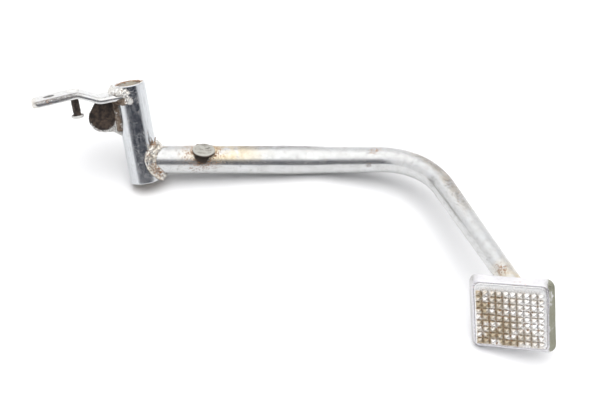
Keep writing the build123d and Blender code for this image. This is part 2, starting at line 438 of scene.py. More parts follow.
# ---------------- arm tube
TUBE_RADIUS = measure("pivot_tube")[1][0]
TUBE_HALF = measure("pivot_tube")[1][2]
BORE_RADIUS = mounts["pivot_bore"]["dims"]["r_mm"]
ARM_ROOT = np.array((0.0, 0.0, 17.0))
ARM_KINK = np.array((104.5, 1.0, 34.5))
ARM_ELBOW = np.array((165.0, 26.0, 37.5))
ARM_TIP = np.array(pad_frame @ Vector((9.5, 6.5, 0.0)))
BEND_RADIUS = 50.0
ARM_WALL = 2.0
ARM_RADII = [(0.0, 8.45), (0.20, 8.5), (0.31, 8.75), (0.38, 8.2), (0.50, 7.6), (0.62, 6.8), (1.0, 5.6)]
ARM_ROWS = 420
ARM_COLUMNS = 112
ARM_INNER_ROWS = 60
ARM_SINK = 0.5
RUN_OVER = 20.0
SHELL_BACK = -2.6

# Marks on the arm, at (length along it, angle round it)
BUTTON_RUST = (36.5, 0.75)
# Where the arm is painted with a dark shadow under the stop button.
BUTTON_SHADOW_SPOT = (35.5, 1.1)
GOLD_FILM = (48.0, 0.5)
KINK_RUST = (142.5, 0.42)
KINK_SCUFF = (139.0, 1.7)
BEND_SCUFF = (189.0, 1.07)
PAD_END_RUST = (268.5, 0.5)


def unit(vector):
    """Vectors made one long."""
    return vector / np.linalg.norm(vector, axis=-1, keepdims=True)


def arm_centre_line():
    """Points and directions along the arm, straight runs and arcs, and length from the root."""
    first = unit(ARM_KINK - ARM_ROOT)
    last = unit(ARM_TIP - ARM_ELBOW)
    points = [ARM_ROOT - first * RUN_OVER]
    directions = [first]
    corners = ((ARM_ROOT, ARM_KINK, ARM_ELBOW), (ARM_KINK, ARM_ELBOW, ARM_TIP))
    for before, corner, after in corners:
        arriving = unit(corner - before)
        leaving = unit(after - corner)
        turn = math.acos(float(arriving @ leaving))
        inward = unit(leaving - arriving * float(arriving @ leaving))
        start = corner - arriving * BEND_RADIUS * math.tan(turn / 2)
        for angle in np.linspace(0, turn, 60):
            sideways = BEND_RADIUS * (1 - math.cos(angle))
            points.append(start + arriving * BEND_RADIUS * math.sin(angle) + inward * sideways)
            directions.append(arriving * math.cos(angle) + inward * math.sin(angle))
    points.append(ARM_TIP + last * RUN_OVER)
    directions.append(last)
    points = np.array(points)
    lengths = np.concatenate(([0], np.cumsum(np.linalg.norm(np.diff(points, axis=0), axis=1)))) - RUN_OVER
    return points, np.array(directions), lengths


arm_points, arm_directions, arm_lengths = arm_centre_line()
ARM_LENGTH = arm_lengths[-1] - RUN_OVER
arm_run = arm_directions[0]
arm_last_run = arm_directions[-1]
pad_normal = np.array(pad_frame.to_3x3() @ Vector((0, 0, 1)))


def arm_radius_table():
    """Outer radius along the arm, with the corners of its taper smoothed."""
    lengths = np.linspace(-RUN_OVER, ARM_LENGTH + RUN_OVER, 700)
    stations, radii = zip(*ARM_RADII)
    return lengths, smoothed(np.interp(lengths / ARM_LENGTH, stations, radii), 41)


radius_lengths, radius_values = arm_radius_table()


def along_arm(lengths, values):
    """Values at the centre line's points, read at lengths along it."""
    return np.stack([np.interp(lengths, arm_lengths, values[:, axis]) for axis in range(3)], axis=-1)


def arm_surface(lengths, angles, growth=0.0):
    """Points on the arm's skin; angle 0 is the inboard side, which lies uppermost."""
    centre = along_arm(lengths, arm_points)
    along = unit(along_arm(lengths, arm_directions))
    inboard = np.array((0.0, 0.0, -1.0))
    inboard = unit(inboard - along * (along @ inboard)[..., None])
    radius = np.interp(lengths, radius_lengths, radius_values) + growth
    outward = np.cos(angles)[..., None] * inboard + np.sin(angles)[..., None] * np.cross(along, inboard)
    return centre + radius[..., None] * outward


def arm_spot(length, angle):
    """One point on the arm's skin."""
    return arm_surface(np.array([length]), np.array([angle]))[0]


def cope_lengths(angles, depth):
    """Length along the arm at which its skin meets a cylinder of radius depth round the pivot."""
    start = arm_surface(np.zeros_like(angles), angles)
    square = arm_run[0] ** 2 + arm_run[1] ** 2
    slope = start[..., 0] * arm_run[0] + start[..., 1] * arm_run[1]
    rest = start[..., 0] ** 2 + start[..., 1] ** 2 - depth ** 2
    return (-slope + np.sqrt(np.maximum(slope ** 2 - square * rest, 0))) / square


def seat_lengths(angles, height):
    """Length along the arm at which its skin meets a plane at a height over the tread."""
    start = arm_surface(np.full_like(angles, ARM_LENGTH), angles)
    drop = height - (start - np.array(PAD_CENTRE)) @ pad_normal
    return ARM_LENGTH + drop / float(pad_normal @ arm_last_run)


def make_arm():
    """Bent and swaged tube, coped on the pivot tube and cut off at the pad's back."""
    angles = turns(ARM_COLUMNS)
    start = cope_lengths(angles, TUBE_RADIUS - ARM_SINK)
    end = seat_lengths(angles, SHELL_BACK + ARM_SINK)
    shares = np.linspace(0, 1, ARM_ROWS)
    lengths = start[None, :] + (end - start)[None, :] * shares[:, None]
    around = np.broadcast_to(angles, lengths.shape)
    inner_rows = np.linspace(ARM_ROWS - 1, 0, ARM_INNER_ROWS).astype(int)
    outside = arm_surface(lengths, around)
    inside = arm_surface(lengths[inner_rows], around[inner_rows], -ARM_WALL)
    points, faces = skin(np.concatenate((outside, inside)), closed_ends=True)
    arm = add_piece("arm_tube_plated", points, faces)
    orient(arm)
    size = len(points)
    lengths = np.concatenate((lengths, lengths[inner_rows])).reshape(size)
    around = np.concatenate((around, around[inner_rows])).reshape(size)
    outer = (np.arange(size) < ARM_ROWS * ARM_COLUMNS).astype(float)
    push = 0.05 * lumps(points, 26.0, 1) + 0.02 * lumps(points, 9.0, 2) + 0.008 * lumps(points, 2.0, 3)
    push_out(arm, points, push * outer)

    def mark(spot, radius):
        return near(points, arm_spot(*spot), radius)

    top = np.cos(around)
    pitted_run = fade(lengths, 48, 60) * fade(lengths, 118, 92) * fade(top, 0.80, 1.0)
    outer_bend = fade(lengths, 158, 172) * fade(lengths, 232, 205) * fade(np.cos(around + 0.35), 0.62, 0.97)
    pad_end = fade(lengths, ARM_LENGTH - 40, ARM_LENGTH - 12) * fade(top, -0.6, 0.5)
    # Painted shadow: the skin under the stop button's overhanging disc is painted solid dark, and its rust
    # is cleared.
    button_shadow = mark(BUTTON_SHADOW_SPOT, 6.2)
    pit = 0.12 + 0.30 * pitted_run + 0.13 * lumps(points, 3.0, 5)
    pit += 0.30 * outer_bend * (1 + 0.5 * lumps(points, 1.2, 7))
    pit += 3.0 * button_shadow + 0.4 * mark(KINK_SCUFF, 2.6) + 0.3 * mark(BEND_SCUFF, 5.0)
    rust = 0.05 + 0.62 * mark(BUTTON_RUST, 19.0) + 0.10 * outer_bend * (1 + lumps(points, 1.2, 6))
    rust += 0.42 * mark(KINK_RUST, 6.0) + 0.25 * mark(KINK_SCUFF, 3.0) + 0.45 * mark(PAD_END_RUST, 7.0)
    rust *= 1 - np.clip(2 * button_shadow, 0, 0.9)
    stain = 0.05 + 0.85 * mark(GOLD_FILM, 34.0) * fade(top, -0.2, 0.4) + 0.22 * outer_bend + 0.6 * pad_end
    complete(arm, IN_PLACE, chrome_arm, "arm_tube", 40, pit=pit, rust=rust, stain=stain)


# ---------------- pivot tube
def make_pivot_tube():
    """Tube with softly rounded mouths."""
    edge = 0.5
    corner_turns = np.linspace(0, math.pi / 2, 7)
    corner = [(edge * (1 - math.sin(turn)), edge * (1 - math.cos(turn))) for turn in corner_turns]
    outer_steps = np.linspace(-TUBE_HALF + edge, TUBE_HALF - edge, 90)
    profile = [(TUBE_RADIUS, height) for height in outer_steps]
    profile += [(TUBE_RADIUS - in_r, TUBE_HALF - in_z) for in_z, in_r in corner[1:]]
    profile += [(BORE_RADIUS + in_r, TUBE_HALF - in_z) for in_z, in_r in corner[::-1]]
    profile += [(BORE_RADIUS, height) for height in outer_steps[::-1][1:-1]]
    profile += [(BORE_RADIUS + in_r, -TUBE_HALF + in_z) for in_z, in_r in corner]
    profile += [(TUBE_RADIUS - in_r, -TUBE_HALF + in_z) for in_z, in_r in corner[::-1][:-1]]
    points, faces = skin(lathe(profile, 160), closed_ends=True)
    tube = add_piece("pivot_tube_plated", points, faces)
    orient(tube)
    push_out(tube, points, 0.02 * lumps(points, 22.0, 11) + 0.006 * lumps(points, 3.0, 12))
    inner = (np.hypot(points[:, 0], points[:, 1]) < TUBE_RADIUS - 1.0).astype(float)
    mouth = fade(np.abs(points[:, 2]), TUBE_HALF - 1.4, TUBE_HALF - 0.5)
    rust = 0.04 + inner * (0.06 + 0.6 * mouth)
    speckle = 0.08 + 0.08 * fade(points[:, 2], -4, 22) * (1 - inner) + 0.14 * lumps(points, 4.0, 13)
    complete(tube, IN_PLACE, chrome_tube, "pivot_tube", 50, pit=speckle * (1 - inner), rust=rust,
             stain=0.02 + 0.5 * inner, dull=0.85 * inner)


# ---------------- weld beads
BEAD_STEPS = 12
BEAD_SINK = 0.25
BEAD_ROOT_SINK = 1.2


def ring(angles):
    """Points on a circle of radius one."""
    return np.stack((np.cos(angles), np.sin(angles), np.zeros_like(angles)), axis=1)


def add_bead(first_toe, last_toe, root, crown, closed=False):
    """Shell of a weld bead, from one toe over its crown to the other and back under the root."""
    outward = unit((first_toe + last_toe) / 2 - root)
    rows = []
    for share in np.linspace(0, 1, BEAD_STEPS):
        arch = math.sin(math.pi * share) ** 0.8
        line = first_toe + (last_toe - first_toe) * share
        rows.append(line + outward * (arch * crown - BEAD_SINK)[:, None])
    rows.append(root - outward * BEAD_ROOT_SINK)
    loops = np.stack(rows, axis=1)
    if closed:
        return add_piece("bead", *skin(loops, closed_ends=True))
    return add_capped("bead", loops)


def add_blob(centre, radius, stretch=(1.0, 1.0, 1.0), turn=0.0):
    """Lump of weld metal: a rounded ball, stretched and turned."""
    shell = bmesh.new()
    shape = Matrix.Rotation(turn, 4, "Z") @ Matrix.Diagonal((*stretch, 1.0))
    shape = Matrix.Translation(Vector(centre)) @ shape
    bmesh.ops.create_icosphere(shell, subdivisions=3, radius=radius, matrix=shape)
    blob = add_piece("blob", [], [])
    shell.to_mesh(blob.data)
    shell.free()
    return blob


def add_ridge(path, radii, sides=12):
    """Rounded ridge along a path of points, thick by radii."""
    path = np.asarray(path, float)
    forward_steps = unit(np.gradient(path, axis=0))
    side = unit(np.cross(forward_steps, np.array((0.31, 0.42, 0.85))))
    other = np.cross(forward_steps, side)
    loops = [path + radii[:, None] * (side * math.cos(a) + other * math.sin(a)) for a in turns(sides)]
    return add_capped("ridge", np.stack(loops, axis=1))


def smooth_path(corners, count):
    """Points along a soft curve through a few corners."""
    corners = np.asarray(corners, float)
    padded = np.vstack((2 * corners[0] - corners[1], corners, 2 * corners[-1] - corners[-2]))
    result = []
    for step in np.linspace(0, len(corners) - 1, count):
        index = min(int(step), len(corners) - 2)
        t = step - index
        p0, p1, p2, p3 = padded[index:index + 4]
        straight = 2 * p1 + (p2 - p0) * t
        bend = (2 * p0 - 5 * p1 + 4 * p2 - p3) * t ** 2
        result.append((straight + bend + (3 * p1 - p0 - 3 * p2 + p3) * t ** 3) / 2)
    return np.array(result)


def around_pivot(radius, turn, height):
    """Point at a radius from the pivot's axis."""
    return (radius * math.cos(turn), radius * math.sin(turn), height)


def on_tube(angle, height, lift=0.0):
    """Point on the pivot tube's outside; angle 0 is forward and 90 is up."""
    return around_pivot(TUBE_RADIUS + lift, math.radians(angle), height)


ARM_WELD_LEG = 4.6
FULL_RUNS = 2


def make_arm_weld():
    """Lumpy bead round the arm's root, with a second run laid over it in an S, and spatter."""
    angles = turns(90)
    around = ring(angles)
    meeting = cope_lengths(angles, TUBE_RADIUS)
    root = arm_surface(meeting, angles)
    arm_toe = arm_surface(meeting + ARM_WELD_LEG * 0.9 * (1 + 0.22 * lumps(around, 0.55, 21)), angles)
    tube_toe = arm_surface(meeting, angles, ARM_WELD_LEG * 0.8)
    tube_toe[:, :2] *= (TUBE_RADIUS / np.hypot(tube_toe[:, 0], tube_toe[:, 1]))[:, None]
    parts = [add_bead(tube_toe, arm_toe, root, 0.9 + 0.5 * lumps(around, 0.3, 22), closed=True)]
    runs = [
        ((on_tube(16, 7.0, 1.9), on_tube(44, 8.6, 1.2), on_tube(64, 11.8, 0.9), on_tube(74, 16.5, 0.8),
          on_tube(66, 21.8, 1.0), on_tube(48, 26.0, 1.3), on_tube(24, 29.6, 1.8)), 1.35),
        ((arm_spot(9.5, 0.1), arm_spot(8.6, 0.6), arm_spot(7.0, 1.1), arm_spot(7.6, 1.7),
          arm_spot(10.2, 2.1), arm_spot(12.2, 2.6)), 1.15),
        ((on_tube(40, 7.6, 0.2), on_tube(43, 5.4, 1.0), on_tube(45, 3.4, 1.9)), 0.75),
        ((on_tube(28, 7.0, 0.6), on_tube(27, 5.0, 1.3), on_tube(28, 3.4, 2.2)), 0.65),
        ((on_tube(56, 9.5, 0.2), on_tube(60, 7.6, 0.7), on_tube(61, 6.0, 1.3)), 0.6),
        ((arm_spot(9.0, 0.2), arm_spot(12.5, 0.22), arm_spot(15.0, 0.25)), 0.7),
    ]
    for number, (corners, radius) in enumerate(runs):
        path = smooth_path(corners, 46)
        taper = 1.0 if number < FULL_RUNS else np.linspace(1.0, 0.35, len(path))
        parts.append(add_ridge(path, radius * (1 + 0.28 * lumps(path, 2.2, 23 + number)) * taper))
    bead, points, hollow = melt("arm_weld_bead", parts, 0.26, ((0.36, 2.0, 24), (0.20, 0.9, 25)))
    spatter = near(points, on_tube(40, 5.5, 1.0), 5.0)
    lower = near(points, arm_spot(11.0, 2.2), 9.0)
    rust = 0.16 + 0.28 * lumps(points, 3.0, 27) + 0.30 * hollow + 0.45 * spatter + 0.35 * lower
    pit = 0.15 + 0.42 * hollow + 0.15 * lumps(points, 1.5, 26) + 0.4 * spatter
    stain = 0.42 + 0.4 * lumps(points, 4.0, 28)
    complete(bead, IN_PLACE, chrome_weld, "arm_weld", pit=pit, rust=rust, stain=stain)


# ---------------- rod lever
lever_low, lever_high = measure("rod_lever", lever_frame)
LEVER_THICKNESS = 3.7
LEVER_REACH = lever_high[0]
LEVER_HALF_WIDTH = lever_high[1]
LEVER_ROOT_Z = lever_high[2] - LEVER_THICKNESS / 2
LEVER_END_Z = lever_low[2] + LEVER_THICKNESS / 2
LEVER_CORNER = 4.5
LEVER_DROOP = 1.1
LEVER_SINK = 0.4
JOGGLE_START = 19.0
JOGGLE_END = 31.0
EDGE_STEPS = 13
ROD_HOLE_REACH = 47.0
ROD_HOLE_RADIUS = mounts["rod_hole"]["dims"]["r_mm"]


def lever_bend(points):
    """Bends flat lever points (reach, across, height over the mid-plane) to the joggled shape."""
    reaches = np.linspace(-5, LEVER_REACH + 5, 800)
    stations = (JOGGLE_START, JOGGLE_END, LEVER_REACH)
    raw = np.interp(reaches, stations, (LEVER_ROOT_Z, LEVER_END_Z - 0.3, LEVER_END_Z + LEVER_DROOP))
    middle = smoothed(raw, 71)
    slope = np.interp(points[..., 0], reaches, np.gradient(middle, reaches))
    stretch = np.sqrt(1 + slope ** 2)
    bent = points.copy()
    bent[..., 0] = points[..., 0] - points[..., 2] * slope / stretch
    bent[..., 2] = np.interp(points[..., 0], reaches, middle) + points[..., 2] / stretch
    return bent


def lever_rows():
    """Cross-sections of the flat lever, coped on the tube, with crowned edges and a round-cornered end."""
    half = LEVER_THICKNESS / 2
    across = np.linspace(1, -1, EDGE_STEPS)
    crown_turns = np.radians(np.linspace(90, -90, EDGE_STEPS))
    rolled = np.where(crown_turns > 0, 0.5, 1.7)
    heights = half * np.sin(crown_turns)
    straight = np.linspace(0, LEVER_REACH - LEVER_CORNER, 110)
    corner_turns = np.radians(np.linspace(0, 90, 12))[1:]
    rows = []
    stations = [(reach, 0.0) for reach in straight] + [(straight[-1], turn) for turn in corner_turns]
    for reach, turn in stations:
        crown_depth = 0.75 + 0.65 * float(fade(reach, 42, 22))
        bend = LEVER_CORNER - crown_depth * rolled * (1 - np.cos(crown_turns))
        x = reach + bend * math.sin(turn)
        y = LEVER_HALF_WIDTH - LEVER_CORNER + bend * math.cos(turn)
        top = np.stack((np.full(EDGE_STEPS, x[0]), y[0] * across, np.full(EDGE_STEPS, half)), axis=1)
        right = np.stack((x, -y, heights), axis=1)[1:-1]
        bottom = np.stack((np.full(EDGE_STEPS, x[-1]), -y[-1] * across, np.full(EDGE_STEPS, -half)), axis=1)
        left = np.stack((x, y, heights), axis=1)[::-1][1:-1]
        row = np.concatenate((top, right, bottom, left))
        if turn == 0:
            cope = np.sqrt(np.maximum((TUBE_RADIUS - LEVER_SINK) ** 2 - row[:, 1] ** 2, 0.5))
            row[:, 0] = cope + (straight[-1] - cope) * (reach / straight[-1])
        rows.append(row)
    return np.array(rows)


def make_lever():
    """Joggled flat bar with the brake rod's hole."""
    rows = lever_rows()
    points, faces = skin(rows)
    faces.append(tuple(range(rows.shape[1]))[::-1])
    end = rows[-1]
    right = end[EDGE_STEPS - 1:2 * EDGE_STEPS - 1]
    left = np.concatenate((end[:1], end[:-EDGE_STEPS:-1]))
    shares = np.linspace(0, 1, EDGE_STEPS)[:, None]
    cap_points, cap_faces = skin(left[:, None] * (1 - shares) + right[:, None] * shares, closed_loops=False)
    faces += [tuple(index + len(points) for index in face) for face in cap_faces]
    points = np.concatenate((points, cap_points))
    points += 0.06 * np.stack([lumps(points, 9.0, seed) for seed in (31, 32, 33)], axis=1)
    lever = add_piece("rod_lever_plated", lever_bend(points), faces)
    apply_modifier(lever, "WELD", merge_threshold=0.0005)
    profile = [(0.45, -9), (0.45, -1.85), (0.0, -1.45), (0.0, 1.45), (0.45, 1.85), (0.45, 9)]
    profile = [(ROD_HOLE_RADIUS + r, LEVER_END_Z + z) for r, z in profile]
    cut(lever, add_capped("rod_hole_cutter", lathe(profile, 40, ROD_HOLE_REACH)))
    points = positions(lever)
    hole = near(points, (ROD_HOLE_REACH, 0, LEVER_END_Z), 9.0)
    end_corner = near(points, (48.5, -9.0, LEVER_END_Z - 0.8), 4.5)
    speckled = fade(-points[:, 1], 6.5, 8.5) * fade(points[:, 0], 24, 36)
    speckled = speckled * fade(points[:, 2], LEVER_END_Z + 1.2, LEVER_END_Z - 0.6)
    pit = 0.15 + 0.45 * speckled + 0.12 * lumps(points, 4.0, 34)
    rust = 0.08 + 0.12 * hole + 0.20 * end_corner
    stain = 0.1 + 0.3 * fade(points[:, 0], 53, 57)
    complete(lever, lever_frame, chrome_lever, "rod_lever", 35, pit=pit, rust=rust, stain=stain)


def lever_bead(face, away, leg):
    """Bead along one face of the lever's coped end; away is -1 inboard or +1 outboard."""
    angles = np.radians(np.linspace(-70, 70, 44))
    taper = 0.35 + 0.65 * fade(np.abs(angles), math.radians(71), math.radians(58))
    circle = ring(angles)
    size = leg * taper * (1 + 0.25 * lumps(circle * 10, 3.0, 41 + away))
    root = circle * TUBE_RADIUS + np.array((0.0, 0.0, face))
    tube_toe = root + np.array((0.0, 0.0, away)) * size[:, None]
    lever_toe = root + circle * size[:, None]
    return add_bead(tube_toe, lever_toe, root, size * (0.22 + 0.12 * lumps(circle * 10, 1.8, 44 + away)))


def make_inboard_weld():
    """Bead on the lever's inboard face, with blobs round its near edge and along its top."""
    face = LEVER_ROOT_Z - LEVER_THICKNESS / 2
    edge_reach = 10.2
    top_reach = 11.3
    parts = [lever_bead(face, -1, 4.0)]
    for number in range(7):
        turn = -math.radians(68) - math.radians(4 * math.sin(number * 1.9))
        centre = around_pivot(edge_reach, turn, face - 1.2 + number * 0.95)
        parts.append(add_blob(centre, 1.75 + 0.25 * math.sin(number * 2.4), (1.0, 1.0, 0.8)))
    for number in range(5):
        turn = math.radians(-52 + 22 * number)
        centre = around_pivot(top_reach, turn, face - 1.3 - 0.5 * math.sin(number * 1.7))
        parts.append(add_blob(centre, 1.6, (1.1, 1.3, 0.8), turn))
    bead, points, hollow = melt("lever_weld_inboard_bead", parts, 0.28, ((0.32, 1.8, 51), (0.18, 0.9, 52)))
    pit = 0.15 + 0.2 * lumps(points, 1.5, 53) + 0.45 * hollow
    rust = 0.08 + 0.25 * lumps(points, 2.5, 54) + 0.2 * hollow
    stain = 0.15 + 0.2 * hollow
    complete(bead, lever_frame, chrome_weld, "lever_weld_inboard", pit=pit, rust=rust, stain=stain)


def make_outboard_weld():
    """Bead on the lever's outboard face, which ends in a bright crater."""
    face = LEVER_ROOT_Z + LEVER_THICKNESS / 2
    turn = math.radians(-78)
    rim_steps = 25
    crater = np.array(around_pivot(10.3, turn, face + 1.2))
    along = np.array((-math.sin(turn), math.cos(turn), 0.0))
    upright = np.array((0.0, 0.0, 1.0))
    angles = np.linspace(0, 2 * math.pi, rim_steps)[:, None]
    rim = crater + 1.25 * (along * np.cos(angles) + upright * np.sin(angles))
    blob = add_blob(crater * (0.93, 0.93, 1.0), 1.4)
    parts = [lever_bead(face, 1, 3.6), add_ridge(rim, np.full(rim_steps, 0.75)), blob]
    bead, points, _ = melt("lever_weld_outboard_bead", parts, 0.25, ((0.20, 1.5, 56), (0.08, 0.7, 57)))
    complete(bead, lever_frame, rusty_weld, "lever_weld_outboard", bright=near(points, crater, 3.6))


# ---------------- spring post
POST_REACH = 32.8
POST_RADIUS = mounts["spring_post_neck"]["dims"]["r_mm"]
POST_HEAD_RADIUS = 3.8
POST_HEAD_THICKNESS = 1.9


def make_spring_post():
    """Corroded headed post, riveted over on the lever's inboard face."""
    low, high = measure("spring_post", lever_frame)
    head_low = high[2] - POST_HEAD_THICKNESS
    face = LEVER_END_Z - LEVER_THICKNESS / 2
    profile = [
        (0.01, low[2]), (1.6, low[2] + 0.05), (2.9, low[2] + 0.4), (3.6, face + 0.1),
        (POST_RADIUS, face + 0.4), (POST_RADIUS, head_low - 3.0),
        (POST_RADIUS * 0.93, head_low - 1.2), (POST_RADIUS * 1.15, head_low),
        (POST_HEAD_RADIUS - 0.3, head_low), (POST_HEAD_RADIUS, head_low + 0.5),
        (POST_HEAD_RADIUS - 0.1, high[2] - 0.6), (POST_HEAD_RADIUS - 0.8, high[2] - 0.05), (0.01, high[2]),
    ]
    post = add_capped("post", lathe(profile, 36, POST_REACH))
    post, points, _ = melt("spring_post_worn", [post], 0.22, ((0.16, 1.6, 61), (0.07, 0.6, 62)))
    # The head and the riveted end take the light colour; on the head it is a painted highlight.
    bright = fade(points[:, 2], head_low - 0.2, head_low + 0.4) + fade(points[:, 2], face + 0.3, face)
    complete(post, lever_frame, rusty_steel, "spring_post", bright=np.clip(bright, 0, 1))


# ---------------- stop lug
LUG_REACH = 18.5
LUG_Z = -12.3
LUG_RADIUS = 8.4
LUG_THICKNESS = 3.2
LUG_TOP_REACH = 21.1
LUG_HEEL = (13.5, -3.0)
LUG_FOOT = (9.0, 0.8)
LUG_INSIDE = 7.5


def make_stop_lug():
    """Rusted tab with a round end and rounded edges, a painted highlight on the outboard side of its rim,
    and a lighter band at its outboard end.
    """
    top = LEVER_ROOT_Z + LEVER_THICKNESS / 2 - 0.5
    outline = [(LUG_INSIDE, top), (LUG_TOP_REACH, top)]
    for angle in np.radians(np.linspace(-36, 80, 26)):
        outline.append((LUG_REACH + LUG_RADIUS * math.cos(angle), LUG_Z + LUG_RADIUS * math.sin(angle)))
    outline += [LUG_HEEL, LUG_FOOT, (LUG_INSIDE, LUG_FOOT[1])]
    half = LUG_THICKNESS / 2
    lug = add_capped("lug", [[(x, y, z) for x, z in outline] for y in (-half, half)])
    orient(lug)
    apply_modifier(lug, "BEVEL", width=0.85, segments=4, limit_method="ANGLE", angle_limit=math.radians(50))
    lug, points, _ = melt("stop_lug_rusted", [lug], 0.28, ((0.14, 2.5, 66), (0.09, 0.8, 67)))
    radial = np.hypot(points[:, 0] - LUG_REACH, points[:, 2] - LUG_Z)
    # Painted highlight along the outboard side of the round end's rim, and a lighter band at the outboard
    # end, both given the material's light colour.
    rim = fade(radial, LUG_RADIUS - 2.4, LUG_RADIUS - 0.5) * fade(points[:, 2], LUG_Z - 1, LUG_Z + 3)
    highlight_and_light_band = np.maximum(rim, fade(points[:, 2], -4.8, -3.8))
    bright = 0.50 * highlight_and_light_band + 0.05 * lumps(points, 1.5, 68) + 0.04
    complete(lug, lever_frame, rusty_steel, "stop_lug", bright=bright)


def make_lug_welds():
    """Rough bead down each side of the lug, where it meets the tube."""
    parts = []
    count = 30
    heights = np.linspace(LEVER_ROOT_Z + LEVER_THICKNESS / 2 + 1.5, LUG_HEEL[1], count)
    reach = math.sqrt(TUBE_RADIUS ** 2 - (LUG_THICKNESS / 2) ** 2)
    for side in (-1, 1):
        root = np.stack((np.full(count, reach), np.full(count, side * LUG_THICKNESS / 2), heights), axis=1)
        size = 2.6 * (1 + 0.25 * lumps(root, 2.5, 71 + side))
        turn = side * (math.asin(LUG_THICKNESS / 2 / TUBE_RADIUS) + size / TUBE_RADIUS)
        tube_toe = np.stack((TUBE_RADIUS * np.cos(turn), TUBE_RADIUS * np.sin(turn), heights), axis=1)
        lug_toe = root + np.stack((size, np.zeros(count), np.zeros(count)), axis=1)
        parts.append(add_bead(tube_toe, lug_toe, root, 0.4 + 0.3 * lumps(root, 1.5, 74 + side)))
    bead, points, _ = melt("lug_weld_bead", parts, 0.28, ((0.15, 1.4, 77), (0.08, 0.7, 78)))
    complete(bead, lever_frame, rusty_weld, "lug_weld", bright=0.2 + 0.3 * lumps(points, 2.0, 79))


# ---------------- stop button
BUTTON_RADIUS = 6.7
BUTTON_THICKNESS = 1.9
BUTTON_SHANK_RADIUS = 3.0
BUTTON_SHANK_OFFSET = 3.6
BUTTON_FACE_HEIGHT = 9.9
BUTTON_LUMPS = 16
BUTTON_LUMP_REACH = 4.6
button_middle = design.inverted() @ Vector(mounts["stop_face"]["pos_m"])
button_out = (design.to_3x3().inverted() @ Vector(mounts["stop_face"]["axis"])).normalized()
button_along = Vector(arm_run)
button_across = button_out.cross(button_along).normalized()
button_turn = Matrix((button_along, button_across, button_out)).transposed().to_4x4()
button_frame = Matrix.Translation(button_middle) @ button_turn


def make_stop_button():
    """Hammered disc with a scuffed face and a painted highlight round its rim, on a stub through the arm's
    wall.
    """
    bottom = -BUTTON_THICKNESS
    profile = [
        (0.01, 0.06), (4.2, 0.03), (5.6, -0.03), (BUTTON_RADIUS - 0.35, -0.12), (BUTTON_RADIUS, -0.6),
        (BUTTON_RADIUS - 0.1, bottom + 0.4), (BUTTON_RADIUS - 0.6, bottom), (0.01, bottom - 0.1),
    ]
    shank = [(0.0, BUTTON_SHANK_OFFSET, height) for height in np.linspace(-1.2, -6.0, 12)]
    radii = np.full(len(shank), BUTTON_SHANK_RADIUS)
    parts = [add_capped("disc", lathe(profile, 48)), add_ridge(shank, radii, 32)]
    button, points, _ = melt("stop_button_worn", parts, 0.24, ((0.14, 3.0, 81), (0.09, 1.0, 82)))
    face = fade(points[:, 2], -0.9, -0.5)
    rim = fade(np.hypot(points[:, 0], points[:, 1]), 5.0, 6.4)
    # The face is scuffed light; its rim is painted lighter still as a highlight.
    bright = face * (0.55 + 0.25 * rim + 0.3 * lumps(points, 2.5, 83))
    complete(button, button_frame, worn_steel, "stop_button", bright=bright)


def make_button_weld():
    """Lumps of weld between the disc and the arm's skin."""
    parts = []
    for number, turn in enumerate(turns(BUTTON_LUMPS)):
        across = BUTTON_LUMP_REACH * math.sin(turn)
        skin_height = math.sqrt(ARM_RADII[0][1] ** 2 - across ** 2) - BUTTON_FACE_HEIGHT
        height = min(skin_height, -BUTTON_THICKNESS - 0.2)
        centre = (BUTTON_LUMP_REACH * math.cos(turn), BUTTON_SHANK_OFFSET + across, height)
        parts.append(add_blob(centre, 1.1 + 0.2 * math.sin(number * 2.3), (1.2, 1.2, 0.85)))
    bead, points, _ = melt("button_weld_lumps", parts, 0.25, ((0.12, 1.4, 85), (0.08, 0.7, 86)))
    complete(bead, button_frame, rusty_weld, "button_weld", bright=0.1 + 0.25 * lumps(points, 1.6, 87))


# ---------------- foot pad
TREAD_LENGTH = 38.6
TREAD_WIDTH = 35.4
SHELL_DIP = 0.4
STUD_PITCH_ALONG = 3.72
STUD_PITCH_ACROSS = 3.45
STUD_SHIFT_ALONG = -0.4
STUD_SHIFT_ACROSS = -1.8
STUD_COLUMNS = 10
STUD_ROWS = 9
STUD_HEIGHT = 1.3
STUD_CELLS = 12
STUD_FOOT = 0.93
STUD_SLOPE = 0.80
FIELD_DEPTH = 0.6
FIELD_HALF_LENGTH = 18.4
FIELD_HALF_WIDTH = 15.8
FIELD_FADE = 0.8


def rounded_loop(margin, corner, height, side_steps=22, corner_steps=8):
    """Rounded rectangle round the tread's outline, wider by margin, at a height over it."""
    half = np.array((TREAD_LENGTH / 2 + margin - corner, TREAD_WIDTH / 2 + margin - corner))
    arcs = []
    for quarter, signs in enumerate(((1, 1), (-1, 1), (-1, -1), (1, -1))):
        angles = np.radians(np.linspace(0, 90, corner_steps)) + quarter * math.pi / 2
        arcs.append(half * signs + corner * ring(angles)[:, :2])
    loop = []
    for arc, following in zip(arcs, arcs[1:] + arcs[:1]):
        loop += [arc, np.linspace(arc[-1], following[0], side_steps + 1)[1:-1]]
    outline = np.concatenate(loop)
    return np.column_stack((outline, np.full(len(outline), height)))


